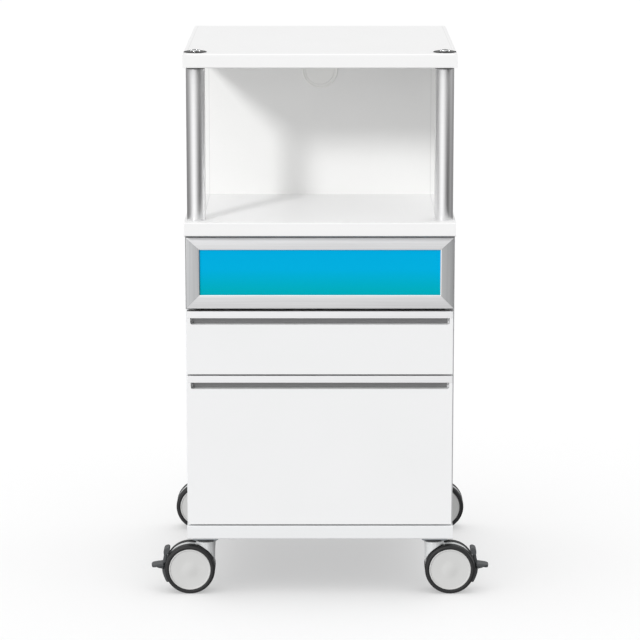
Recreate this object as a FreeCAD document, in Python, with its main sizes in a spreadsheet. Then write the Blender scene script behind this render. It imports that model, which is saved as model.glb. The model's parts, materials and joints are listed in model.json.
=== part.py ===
import FreeCAD, Part
import math
import os
import re
import Sketcher
from FreeCAD import Rotation, Vector

# A mobile clinic cabinet: three drawers under a shelf, an equipment bay between the shelf
# and the top board, and four twin-wheel casters. Millimetres, +Z up, the front towards -Y,
# the origin on the floor under the middle of the cabinet.

doc = FreeCAD.newDocument("ClinicCabinet")
sheet = doc.addObject("Spreadsheet::Sheet", "Sizes")

SIZES = [
    # boards and carcass
    ("body_width", 500),
    ("board_depth", 530),
    ("board_thickness", 26),
    ("board_edge_radius", 2.5),
    ("top_strip_width", 7),
    ("shelf_rail_width", 35),
    ("shelf_front_depth", 60),
    ("front_setback", 20),
    ("panel_thickness", 18),
    ("back_panel_thickness", 8),
    # equipment bay
    ("bay_height", 284),
    ("bay_depth", 339),
    ("rear_cover_thickness", 3),
    ("grommet_hole_diameter", 60),
    ("grommet_top_margin", 6.5),
    ("grommet_lip", 4.5),
    ("grommet_flange_thickness", 2.5),
    ("grommet_wall", 2),
    ("grommet_cap_thickness", 3),
    ("grommet_fit", 0.3),
    # front posts and their tie bolts
    ("post_diameter", 35),
    ("post_wall", 1.5),
    ("post_side_inset", 22),
    ("post_front_inset", 36),
    ("bolt_diameter", 8),
    ("bolt_clearance", 0.3),
    ("bolt_cap_diameter", 42.5),
    ("bolt_cap_height", 2.5),
    ("bolt_cap_seat_depth", 0.5),
    ("bolt_head_diameter", 19.5),
    ("bolt_head_height", 2.5),
    ("bolt_engagement", 20),
    # drawer fronts and the gaps between them
    ("front_thickness", 19),
    ("front_gap", 3),
    ("front_side_inset", 3),
    ("front_bumper_gap", 2),
    ("drawer_2_height", 119.5),
    ("drawer_3_height", 286),
    ("frame_height", 137),
    ("frame_gap_below", 4.5),
    ("frame_gap_above", 2.5),
    ("frame_side_inset", 1),
    ("frame_bar_width", 26),
    ("frame_rebate", 10),
    ("glass_thickness", 4),
    ("glass_rear_gap", 12),
    ("glass_fit", 0.5),
    # grip profile let into the top of a plain drawer front
    ("grip_lip_height", 13),
    ("grip_lip_thickness", 2.5),
    ("grip_sheet", 1.5),
    ("grip_recess_height", 12),
    ("grip_web", 3.5),
    ("grip_end_margin", 6),
    ("grip_corner_radius", 4),
    # drawer boxes
    ("drawer_rear_clearance", 33),
    ("drawer_wall", 12),
    ("drawer_base_thickness", 6),
    ("drawer_box_lift", 12),
    ("drawer_box_headroom", 17),
    # three-member drawer runners
    ("runner_thickness", 12.7),
    ("runner_height", 45),
    ("runner_sheet", 1.5),
    ("runner_race_gap", 0.5),
    ("runner_lift", 14),
    # casters
    ("caster_side_inset", 34),
    ("caster_front_inset", 29),
    ("caster_rear_inset", 27),
    ("caster_trail", 30),
    ("plate_side", 48),
    ("plate_thickness", 3),
    ("bearing_diameter", 34),
    ("bearing_height", 4.2),
    ("swivel_gap", 0.3),
    ("kingpin_diameter", 10),
    ("kingpin_length", 20),
    ("running_fit", 0.05),
    ("crown_diameter", 37),
    ("crown_thickness", 6.5),
    ("spine_thickness", 13),
    ("spine_rim", 1.5),
    ("spine_neck_rise", 9.5),
    ("spine_lower_drop", 18),
    ("wheel_diameter", 95),
    ("wheel_width", 17),
    ("wheel_gap", 0.5),
    ("tyre_thickness", 8),
    ("tyre_shoulder_radius", 3),
    ("hub_inset", 0.8),
    ("hub_rim_width", 3),
    ("hub_face_drop", 0.8),
    ("hub_dimple_diameter", 30),
    ("hub_dimple_drop", 1.2),
    ("hub_cover", 4),
    ("axle_diameter", 8),
    # brake pedals of the front casters
    ("pedal_pivot_inset", 8),
    ("pedal_pivot_height", 6),
    ("pedal_cheek_margin", 2),
    ("pedal_lug_radius", 8),
    ("pedal_lug_thickness", 5.8),
    ("pedal_slot_gap", 0.3),
    ("pedal_slot_back_gap", 3),
    ("pedal_slot_low", 12),
    ("pedal_slot_high", 26),
    ("pedal_stub_diameter", 4),
    ("pedal_stub_end_gap", 0.3),
    ("pedal_stem_side_gap", 0.5),
    ("pedal_tab_width", 26),
    # one overrun for every cut that has to pass through
    ("overrun", 5),
]

for row, (name, value) in enumerate(SIZES, start=1):
    sheet.set(f"A{row}", name)
    sheet.set(f"B{row}", str(value))
    sheet.setAlias(f"B{row}", name)
doc.recompute()


# Rules, the sums of size names that place and size every piece

def formula(rule):
    """A sum of size names as an expression on the sheet."""
    return re.sub(r"[a-z]\w*", lambda word: "Sizes." + word.group(), rule)


def bind(thing, prop, rule):
    thing.setExpression(prop, formula(rule))


def place(thing, spot, rotation=None):
    """Puts a piece's own origin at a spot given by three rules."""
    if rotation is not None:
        thing.Placement = FreeCAD.Placement(Vector(), rotation)
    for axis, rule in zip("xyz", spot):
        bind(thing, f"Placement.Base.{axis}", rule)
    return thing


# Levels, fronts and depths that several pieces share

CROWN_TOP = "(wheel_diameter + crown_thickness)"
PLATE_LOW = f"({CROWN_TOP} + swivel_gap + bearing_height)"
CASTER_HEIGHT = f"({PLATE_LOW} + plate_thickness)"
BOARD_FRONT = "-board_depth / 2"
BOARD_BACK = "board_depth / 2"
FRONT_FACE = "(front_setback - board_depth / 2)"
FRONT_BACK = f"({FRONT_FACE} + front_thickness)"
PANEL_FRONT = f"({FRONT_BACK} + front_bumper_gap)"
CARCASS_FLOOR = f"({CASTER_HEIGHT} + board_thickness)"
DRAWER_3_LOW = f"({CARCASS_FLOOR} + front_gap)"
DRAWER_2_LOW = f"({DRAWER_3_LOW} + drawer_3_height + front_gap)"
FRAME_LOW = f"({DRAWER_2_LOW} + drawer_2_height + frame_gap_below)"
SHELF_LOW = f"({FRAME_LOW} + frame_height + frame_gap_above)"
BAY_FLOOR = f"({SHELF_LOW} + board_thickness)"
BAY_CEILING = f"({BAY_FLOOR} + bay_height)"
TOP_FACE = f"({BAY_CEILING} + board_thickness)"
CARCASS_HEIGHT = f"({SHELF_LOW} - {CARCASS_FLOOR})"
BAY_PANEL_FACE = "(bay_depth - board_depth / 2)"
INNER_SIDE = "(body_width / 2 - panel_thickness)"
DRAWER_DEPTH = f"({BOARD_BACK} - back_panel_thickness - drawer_rear_clearance - {FRONT_BACK})"
POST_ACROSS = "(body_width / 2 - post_side_inset)"
POST_ALONG = "(post_front_inset - board_depth / 2)"


# How near two measures of one shape have to be to count as the same

SLACK = sheet.get("running_fit") / 10


# Ways of making a piece

def box(label, size, spot):
    """A plain board or bar from its three sizes and its lowest corner."""
    piece = doc.addObject("Part::Box", label)
    for prop, rule in zip(("Length", "Width", "Height"), size):
        bind(piece, prop, rule)
    return place(piece, spot)


def cylinder(label, radius, height, spot, rotation=None):
    piece = doc.addObject("Part::Cylinder", label)
    bind(piece, "Radius", radius)
    bind(piece, "Height", height)
    return place(piece, spot, rotation)


def fused(label, pieces):
    whole = doc.addObject("Part::MultiFuse", label)
    whole.Shapes = pieces
    whole.Refine = True
    return whole


def cut(label, base, tools):
    """The base with one or more tool shapes taken away."""
    tool = tools[0] if len(tools) == 1 else fused(label + "_cutters", tools)
    whole = doc.addObject("Part::Cut", label)
    whole.Base = base
    whole.Tool = tool
    whole.Refine = True
    return whole


def group(label, pieces):
    """Several separate solids that one node holds."""
    whole = doc.addObject("Part::Compound", label)
    whole.Links = pieces
    return whole


def both_sides(label, right_pieces):
    """The pieces of the right side with their mirror images on the left."""
    pieces = []
    for piece in right_pieces:
        twin = doc.addObject("Part::Mirroring", piece.Label + "_left")
        twin.Source = piece
        twin.Normal = Vector(1, 0, 0)
        pieces += [piece, twin]
    return group(label, pieces)


def new_body(label):
    return doc.addObject("PartDesign::Body", label)


def new_sketch(body, plane_role):
    sketch = body.newObject("Sketcher::SketchObject", body.Label + "_sketch")
    plane = next(item for item in body.Origin.OriginFeatures if item.Role == plane_role)
    sketch.AttachmentSupport = [(plane, "")]
    sketch.MapMode = "FlatFace"
    return sketch


def pin_point(sketch, item, point, rules, start):
    """Holds one point of a sketch at a place given by two rules."""
    for kind, rule, value in zip(("DistanceX", "DistanceY"), rules, start):
        number = sketch.addConstraint(Sketcher.Constraint(kind, -1, 1, item, point, value))
        bind(sketch, f"Constraints[{number}]", rule)


def draw_outline(sketch, corners):
    """A closed outline of straight lines through corners given by pairs of rules."""
    first = sketch.GeometryCount
    count = len(corners)
    turns = [2 * math.pi * number / count for number in range(count)]
    starts = [Vector(math.cos(turn), math.sin(turn), 0) for turn in turns]
    for number in range(count):
        line = Part.LineSegment(starts[number], starts[(number + 1) % count])
        sketch.addGeometry(line, False)
    for number, rules in enumerate(corners):
        line = first + number
        after = first + (number + 1) % count
        sketch.addConstraint(Sketcher.Constraint("Coincident", line, 2, after, 1))
        pin_point(sketch, line, 1, rules, (starts[number].x, starts[number].y))


def draw_circle(sketch, rules, diameter):
    circle = sketch.addGeometry(Part.Circle(Vector(), Vector(0, 0, 1), 1), False)
    pin_point(sketch, circle, 3, rules, (0, 0))
    number = sketch.addConstraint(Sketcher.Constraint("Diameter", circle, 2))
    bind(sketch, f"Constraints[{number}]", diameter)


def rectangle(left, low, width, height):
    """The corners of an upright rectangle."""
    right = f"({left}) + ({width})"
    high = f"({low}) + ({height})"
    return [(left, low), (right, low), (right, high), (left, high)]


def add_pad(body, sketch, length, side="One side", backwards=False):
    pad = body.newObject("PartDesign::Pad", body.Label + "_pad")
    pad.Profile = sketch
    pad.SideType = side
    pad.Reversed = backwards
    bind(pad, "Length", length)
    sketch.Visibility = False
    body.Tip = pad
    return pad


def add_pocket(body, sketch, depth):
    """Cuts a sketch into the body, and stops the build if it cuts nothing."""
    doc.recompute()
    before = body.Shape.Volume
    pocket = body.newObject("PartDesign::Pocket", body.Label + "_pocket")
    pocket.Profile = sketch
    bind(pocket, "Length", depth)
    sketch.Visibility = False
    body.Tip = pocket
    doc.recompute()
    assert body.Shape.Volume < before, f"{body.Label}: the pocket cuts nothing"
    return pocket


def straight_edges(shape, along, side):
    """Names of the edges that run along one axis on one side of the shape's box."""
    names = []
    whole = shape.BoundBox
    for number, edge in enumerate(shape.Edges, start=1):
        reach = edge.BoundBox
        spans = {"X": reach.XLength, "Y": reach.YLength, "Z": reach.ZLength}
        across = [span for axis, span in spans.items() if axis != along]
        on_side = {
            "-Y": abs(reach.YMax - whole.YMin) < SLACK,
            "+X": abs(reach.XMin - whole.XMax) < SLACK,
        }[side]
        if max(across) < SLACK and on_side:
            names.append(f"Edge{number}")
    return names


def outer_rims(shape):
    """Names of the level round edges that reach as far across as the turned shape does."""
    whole = shape.BoundBox
    names = []
    for number, edge in enumerate(shape.Edges, start=1):
        reach = edge.BoundBox
        if reach.ZLength < SLACK and abs(reach.XLength - whole.XLength) < SLACK:
            names.append(f"Edge{number}")
    return names


def round_edges(body, names, radius):
    base = body.Tip
    fillet = body.newObject("PartDesign::Fillet", body.Label + "_rounding")
    fillet.Base = (base, names)
    bind(fillet, "Radius", radius)
    body.Tip = fillet
    return fillet


def turned(label, profile):
    """A part turned about its own Z axis, from (radius, height) rules."""
    body = new_body(label)
    sketch = new_sketch(body, "XZ_Plane")
    draw_outline(sketch, profile)
    revolution = body.newObject("PartDesign::Revolution", label + "_turning")
    revolution.Profile = sketch
    revolution.ReferenceAxis = (sketch, ["V_Axis"])
    sketch.Visibility = False
    body.Tip = revolution
    return body


def board(label, corners, bolt_holes=False):
    """A flat board with rounded front edges, drawn from above, its underside at zero."""
    body = new_body(label)
    sketch = new_sketch(body, "XY_Plane")
    draw_outline(sketch, corners)
    add_pad(body, sketch, "board_thickness")
    if bolt_holes:
        holes = new_sketch(body, "XY_Plane")
        for across in (f"-{POST_ACROSS}", POST_ACROSS):
            draw_circle(holes, (across, POST_ALONG), "bolt_diameter + 2 * bolt_clearance")
        pocket = body.newObject("PartDesign::Pocket", label + "_bolt_holes")
        pocket.Profile = holes
        pocket.Reversed = True
        pocket.Type = "ThroughAll"
        holes.Visibility = False
        body.Tip = pocket
    doc.recompute()
    round_edges(body, straight_edges(body.Shape, "X", "-Y"), "board_edge_radius")
    return body


# Top board and the strips let in beside it, with a shallow seat for each bolt cap

CAP_LEVEL = f"({TOP_FACE} - bolt_cap_seat_depth)"
cap_seats = [
    cylinder(f"cap_seat_{side}", "bolt_cap_diameter / 2 + bolt_clearance", "overrun",
             (f"{sign}{POST_ACROSS}", POST_ALONG, CAP_LEVEL))
    for side, sign in (("right", ""), ("left", "-"))
]

top_width = "body_width - 2 * top_strip_width"
top_blank = board("top_board_blank",
                  rectangle(f"-({top_width}) / 2", BOARD_FRONT, top_width, "board_depth"),
                  bolt_holes=True)
place(top_blank, ("0", "0", BAY_CEILING))
cut("top_board", top_blank, cap_seats)

strip = new_body("top_edge_strip_right")
strip_sketch = new_sketch(strip, "XZ_Plane")
draw_outline(strip_sketch, rectangle(f"({top_width}) / 2", "0", "top_strip_width",
                                     "board_thickness"))
add_pad(strip, strip_sketch, "board_depth", side="Symmetric")
doc.recompute()
round_edges(strip, straight_edges(strip.Shape, "Y", "+X"), "board_edge_radius")
place(strip, ("0", "0", BAY_CEILING))
both_sides("top_edge_strips", [cut("top_edge_strip_seated", strip, cap_seats[:1])])


# Shelf board, full width under the posts and narrower behind, with a rail each side

narrow = "(body_width / 2 - shelf_rail_width)"
shoulder = "shelf_front_depth - board_depth / 2"
shelf_board = board("shelf_board", [
    ("-body_width / 2", BOARD_FRONT),
    ("body_width / 2", BOARD_FRONT),
    ("body_width / 2", shoulder),
    (narrow, shoulder),
    (narrow, BOARD_BACK),
    (f"-{narrow}", BOARD_BACK),
    (f"-{narrow}", shoulder),
    ("-body_width / 2", shoulder),
], bolt_holes=True)
place(shelf_board, ("0", "0", SHELF_LOW))

shelf_rail = box("shelf_side_rail_right",
                 ("shelf_rail_width", "board_depth - shelf_front_depth", "board_thickness"),
                 (narrow, shoulder, SHELF_LOW))
both_sides("shelf_side_rails", [shelf_rail])


# Front posts and the bolts that tie top board, post and shelf together

post = new_body("front_post_right")
post_sketch = new_sketch(post, "XY_Plane")
draw_circle(post_sketch, ("0", "0"), "post_diameter")
draw_circle(post_sketch, ("0", "0"), "post_diameter - 2 * post_wall")
add_pad(post, post_sketch, "bay_height")
place(post, (POST_ACROSS, POST_ALONG, BAY_FLOOR))
both_sides("front_posts", [post])

bolt_foot = f"{BAY_FLOOR} - bolt_engagement - {CAP_LEVEL}"
tie_bolt = turned("post_tie_bolt_right", [
    ("0", bolt_foot),
    ("bolt_diameter / 2", bolt_foot),
    ("bolt_diameter / 2", "0"),
    ("bolt_cap_diameter / 2", "0"),
    ("bolt_cap_diameter / 2", "bolt_cap_height"),
    ("bolt_head_diameter / 2", "bolt_cap_height"),
    ("bolt_head_diameter / 2", "bolt_cap_height + bolt_head_height"),
    ("0", "bolt_cap_height + bolt_head_height"),
])
place(tie_bolt, (POST_ACROSS, POST_ALONG, CAP_LEVEL))
both_sides("post_tie_bolts", [tie_bolt])


# Equipment bay: back panel with its cable outlet, side frames and rear cover

flange_radius = "(grommet_hole_diameter / 2 + grommet_lip)"
grommet_level = f"({BAY_CEILING} - grommet_top_margin - {flange_radius})"
facing_front = Rotation(Vector(1, 0, 0), 90)

bay_panel = box("bay_back_panel_blank",
                (f"2 * {narrow}", "panel_thickness", "bay_height"),
                (f"-{narrow}", BAY_PANEL_FACE, BAY_FLOOR))
outlet = cylinder("cable_outlet_cut", "grommet_hole_diameter / 2",
                  "panel_thickness + 2 * overrun",
                  ("0", f"{BAY_PANEL_FACE} + panel_thickness + overrun", grommet_level),
                  facing_front)
cut("bay_back_panel", bay_panel, [outlet])

sleeve_outer = "(grommet_hole_diameter / 2 - grommet_fit)"
sleeve_inner = f"({sleeve_outer} - grommet_wall)"
cap_seat = "(grommet_flange_thickness - grommet_cap_thickness - grommet_wall)"
grommet_ring = turned("cable_grommet_ring", [
    (sleeve_inner, "grommet_flange_thickness"),
    (sleeve_inner, "-panel_thickness"),
    (sleeve_outer, "-panel_thickness"),
    (sleeve_outer, "0"),
    (flange_radius, "0"),
    (flange_radius, "grommet_flange_thickness / 2"),
    (f"{flange_radius} - grommet_flange_thickness / 2", "grommet_flange_thickness"),
])
place(grommet_ring, ("0", BAY_PANEL_FACE, grommet_level), facing_front)

cap_radius = f"({sleeve_inner} - grommet_fit)"
grommet_cap = turned("cable_grommet_cap", [
    ("0", "grommet_flange_thickness - grommet_cap_thickness"),
    (f"{cap_radius} - grommet_wall", "grommet_flange_thickness - grommet_cap_thickness"),
    (f"{cap_radius} - grommet_wall", f"{cap_seat} - grommet_cap_thickness"),
    (cap_radius, f"{cap_seat} - grommet_cap_thickness"),
    (cap_radius, "grommet_flange_thickness"),
    ("0", "grommet_flange_thickness"),
])
place(grommet_cap, ("0", BAY_PANEL_FACE, grommet_level), facing_front)

frame_depth = f"({BOARD_BACK} - rear_cover_thickness - {BAY_PANEL_FACE} - panel_thickness)"
stile = box("bay_stile_right",
            ("shelf_rail_width", "panel_thickness", "bay_height"),
            (narrow, BAY_PANEL_FACE, BAY_FLOOR))
bay_wall = box("bay_wall_right",
               ("panel_thickness", frame_depth, "bay_height"),
               (INNER_SIDE, f"{BAY_PANEL_FACE} + panel_thickness", BAY_FLOOR))
both_sides("bay_side_frames", [stile, bay_wall])

box("bay_rear_cover",
    ("body_width", "rear_cover_thickness", "bay_height"),
    ("-body_width / 2", f"{BOARD_BACK} - rear_cover_thickness", BAY_FLOOR))


# Carcass: side panels, bottom board and back panel

side_panel = box("side_panel_right",
                 ("panel_thickness", f"{BOARD_BACK} - {PANEL_FRONT}", CARCASS_HEIGHT),
                 (INNER_SIDE, PANEL_FRONT, CARCASS_FLOOR))
both_sides("side_panels", [side_panel])

bottom_board = board("bottom_board",
                     rectangle("-body_width / 2", FRONT_FACE, "body_width",
                               "board_depth - front_setback"))
place(bottom_board, ("0", "0", CASTER_HEIGHT))

box("carcass_back_panel",
    (f"2 * {INNER_SIDE}", "back_panel_thickness", CARCASS_HEIGHT),
    (f"-{INNER_SIDE}", f"{BOARD_BACK} - back_panel_thickness", CARCASS_FLOOR))


# Drawer boxes and the runners that carry them

DRAWERS = {
    1: {"low": FRAME_LOW, "front_height": "frame_height"},
    2: {"low": DRAWER_2_LOW, "front_height": "drawer_2_height"},
    3: {"low": DRAWER_3_LOW, "front_height": "drawer_3_height"},
}


def channel(label, web_face, inward, depth, height, middle):
    """A rail of C section along the drawer, its web at web_face and its legs inward."""
    body = new_body(label)
    sketch = new_sketch(body, "XZ_Plane")
    sign = "-" if inward else "+"
    low = f"{middle} - ({height}) / 2"
    high = f"{middle} + ({height}) / 2"
    web = f"{web_face} {sign} runner_sheet"
    legs = f"{web_face} {sign} ({depth})"
    draw_outline(sketch, [
        (web_face, low),
        (legs, low),
        (legs, f"{low} + runner_sheet"),
        (web, f"{low} + runner_sheet"),
        (web, f"{high} - runner_sheet"),
        (legs, f"{high} - runner_sheet"),
        (legs, high),
        (web_face, high),
    ])
    add_pad(body, sketch, DRAWER_DEPTH, backwards=True)
    place(body, ("0", FRONT_BACK, "0"))
    return body


def runner_members(number, low):
    """The cabinet, middle and drawer members of the right-hand runner of one drawer."""
    middle = f"{low} + drawer_box_lift + runner_lift + runner_height / 2"
    step = "(runner_sheet + runner_race_gap)"
    mouth = f"(runner_thickness - {step})"
    cabinet = channel(f"cabinet_rail_{number}_right", INNER_SIDE, True, mouth,
                      "runner_height", middle)
    slide = channel(f"runner_slide_{number}_right", f"({INNER_SIDE} - {step})", True,
                    f"{mouth} - {step}", f"runner_height - 2 * {step}", middle)
    drawer = channel(f"drawer_rail_{number}_right", f"({INNER_SIDE} - runner_thickness)", False,
                     f"{mouth} - {step}", f"runner_height - 4 * {step}", middle)
    return cabinet, slide, drawer


def drawer_box(number, low, front_height):
    """Four walls standing on a base."""
    box_height = f"({front_height} - drawer_box_lift - drawer_box_headroom)"
    half = f"({INNER_SIDE} - runner_thickness)"
    floor = f"{low} + drawer_box_lift"
    wall_low = f"{floor} + drawer_base_thickness"
    wall_height = f"{box_height} - drawer_base_thickness"
    name = f"drawer_{number}"
    inner_width = f"2 * {half} - 2 * drawer_wall"
    inner_left = f"drawer_wall - {half}"
    walls = [
        box(f"{name}_right_wall", ("drawer_wall", DRAWER_DEPTH, wall_height),
            (f"{half} - drawer_wall", FRONT_BACK, wall_low)),
        box(f"{name}_left_wall", ("drawer_wall", DRAWER_DEPTH, wall_height),
            (f"-{half}", FRONT_BACK, wall_low)),
        box(f"{name}_inner_front", (inner_width, "drawer_wall", wall_height),
            (inner_left, FRONT_BACK, wall_low)),
        box(f"{name}_rear_wall", (inner_width, "drawer_wall", wall_height),
            (inner_left, f"{FRONT_BACK} + {DRAWER_DEPTH} - drawer_wall", wall_low)),
        box(f"{name}_base", (f"2 * {half}", DRAWER_DEPTH, "drawer_base_thickness"),
            (f"-{half}", FRONT_BACK, floor)),
    ]
    return group(f"{name}_box", walls)


cabinet_rails = []
for number, drawer in DRAWERS.items():
    drawer_box(number, drawer["low"], drawer["front_height"])
    cabinet_rail, runner_slide, drawer_rail = runner_members(number, drawer["low"])
    cabinet_rails.append(cabinet_rail)
    both_sides(f"runner_slides_{number}", [runner_slide])
    both_sides(f"drawer_{number}_rails", [drawer_rail])
both_sides("cabinet_runner_rails", cabinet_rails)


# Plain drawer fronts with a grip profile along the top edge

def plain_front(number, low, height):
    """A panel rebated for the grip profile, with a finger recess under its lip."""
    body = new_body(f"drawer_{number}_front")
    section = new_sketch(body, "YZ_Plane")
    seat_depth = "front_thickness - grip_web"
    draw_outline(section, [
        ("0", "0"),
        ("front_thickness", "0"),
        ("front_thickness", height),
        (seat_depth, height),
        (seat_depth, f"{height} - grip_sheet"),
        ("grip_lip_thickness", f"{height} - grip_sheet"),
        ("grip_lip_thickness", f"{height} - grip_lip_height"),
        ("0", f"{height} - grip_lip_height"),
    ])
    width = "body_width - 2 * front_side_inset"
    add_pad(body, section, width, side="Symmetric")
    recess = new_sketch(body, "XZ_Plane")
    half = f"({width}) / 2 - grip_end_margin"
    recess_low = f"{height} - grip_lip_height - grip_recess_height"
    draw_outline(recess, rectangle(f"-({half})", recess_low, f"2 * ({half})",
                                   "grip_lip_height + grip_recess_height - grip_sheet"))
    add_pocket(body, recess, seat_depth)
    corners = []
    shape = body.Shape
    reach = shape.BoundBox.XMax - sheet.get("grip_end_margin")
    floor = shape.BoundBox.ZMax - sheet.get("grip_lip_height") - sheet.get("grip_recess_height")
    for index, edge in enumerate(shape.Edges, start=1):
        line = edge.BoundBox
        level = abs(line.ZMin - floor) < SLACK and line.ZLength < SLACK
        if level and line.XLength < SLACK and abs(abs(line.XMin) - reach) < SLACK:
            corners.append(f"Edge{index}")
    round_edges(body, corners, "grip_corner_radius")
    place(body, ("0", FRONT_FACE, low))

    top = f"{low} + {height}"
    liner_half = f"({half} - grip_corner_radius)"
    lip = box(f"drawer_{number}_grip_lip", (width, "grip_lip_thickness", "grip_lip_height"),
              (f"-({width}) / 2", FRONT_FACE, f"{top} - grip_lip_height"))
    cover = box(f"drawer_{number}_grip_cover", (width, seat_depth, "grip_sheet"),
                (f"-({width}) / 2", FRONT_FACE, f"{top} - grip_sheet"))
    liner = box(f"drawer_{number}_grip_liner",
                (f"2 * {liner_half}", "grip_sheet", "grip_lip_height + grip_recess_height"),
                (f"-{liner_half}", f"{FRONT_FACE} + front_thickness - grip_web - grip_sheet",
                 f"{top} - grip_lip_height - grip_recess_height"))
    fused(f"drawer_{number}_grip", [lip, cover, liner])


plain_front(2, DRAWER_2_LOW, "drawer_2_height")
plain_front(3, DRAWER_3_LOW, "drawer_3_height")


# Glazed drawer front: a mitred frame of four bars with the glass in its rebate

frame_width = "body_width - 2 * frame_side_inset"
glass_setback = "(front_thickness - glass_thickness - glass_rear_gap)"


def mitred_bar(label, corner, turned_corner, rear_corner, rear_turned_corner):
    """A bar with a wide front layer and a narrower layer behind it beside the glass."""
    body = new_body(label)
    for layer, (outer, inner) in enumerate(((corner, turned_corner),
                                            (rear_corner, rear_turned_corner))):
        sketch = new_sketch(body, "XZ_Plane")
        draw_outline(sketch, [outer[0], outer[1], inner[1], inner[0]])
        add_pad(body, sketch, glass_setback if layer == 0 else "front_thickness",
                backwards=True)
    place(body, ("0", FRONT_FACE, FRAME_LOW))
    return body


def frame_corners(inset):
    """Corners of the frame at a distance from its outer edge, from the lower left round."""
    half = f"({frame_width}) / 2 - ({inset})"
    return rectangle(f"-({half})", inset, f"2 * ({half})", f"frame_height - 2 * ({inset})")


outside = frame_corners("0")
front_inside = frame_corners("frame_bar_width")
rear_inside = frame_corners("frame_bar_width - frame_rebate")
frame_bars = []
for index, bar_side in enumerate(("bottom", "right", "top", "left")):
    after = (index + 1) % len(outside)
    frame_bars.append(mitred_bar(
        f"drawer_1_frame_{bar_side}",
        (outside[index], outside[after]),
        (front_inside[index], front_inside[after]),
        (outside[index], outside[after]),
        (rear_inside[index], rear_inside[after]),
    ))
group("drawer_1_frame", frame_bars)

glass_margin = "(frame_bar_width - frame_rebate + glass_fit)"
box("drawer_1_glass",
    (f"{frame_width} - 2 * {glass_margin}", "glass_thickness",
     f"frame_height - 2 * {glass_margin}"),
    (f"{glass_margin} - ({frame_width}) / 2", f"{FRONT_FACE} + {glass_setback}",
     f"{FRAME_LOW} + {glass_margin}"))


# Casters: the fixed plates and bearings, then the swivelling parts and the wheels

WHEEL_LEVEL = "(wheel_diameter / 2)"
HUB_DEPTH = "(wheel_width - hub_inset)"
SPINE_RADIUS = "(wheel_diameter / 2 + spine_rim)"
PIVOT_REACH = f"({SPINE_RADIUS} - pedal_pivot_inset)"

CASTERS = {
    "front_left": {"across": -1, "along": f"({FRONT_FACE} + caster_front_inset)", "brake": True},
    "front_right": {"across": 1, "along": f"({FRONT_FACE} + caster_front_inset)", "brake": True},
    "rear_left": {"across": -1, "along": f"({BOARD_BACK} - caster_rear_inset)", "brake": False},
    "rear_right": {"across": 1, "along": f"({BOARD_BACK} - caster_rear_inset)", "brake": False},
}


def caster_plate(name, spot):
    """Square mounting plate with the swivel pin under its middle."""
    across, along = spot
    plate = box(f"{name}_plate_sheet", ("plate_side", "plate_side", "plate_thickness"),
                (f"{across} - plate_side / 2", f"{along} - plate_side / 2", PLATE_LOW))
    kingpin = cylinder(f"{name}_kingpin", "kingpin_diameter / 2",
                       "kingpin_length + plate_thickness",
                       (across, along, f"{PLATE_LOW} - kingpin_length"))
    return fused(f"{name}_plate", [plate, kingpin])


def caster_bearing(name, spot):
    across, along = spot
    ring = turned(f"{name}_bearing", [
        ("kingpin_diameter / 2 + running_fit", "0"),
        ("bearing_diameter / 2", "0"),
        ("bearing_diameter / 2", "bearing_height"),
        ("kingpin_diameter / 2 + running_fit", "bearing_height"),
    ])
    return place(ring, (across, along, f"{PLATE_LOW} - bearing_height"))


def pin_across(label, diameter, length, spot):
    """A round bar along Y, centred on the middle plane of the caster."""
    across, level = spot
    return cylinder(label, f"({diameter}) / 2", length,
                    (across, f"({length}) / 2", level), facing_front)


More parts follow.
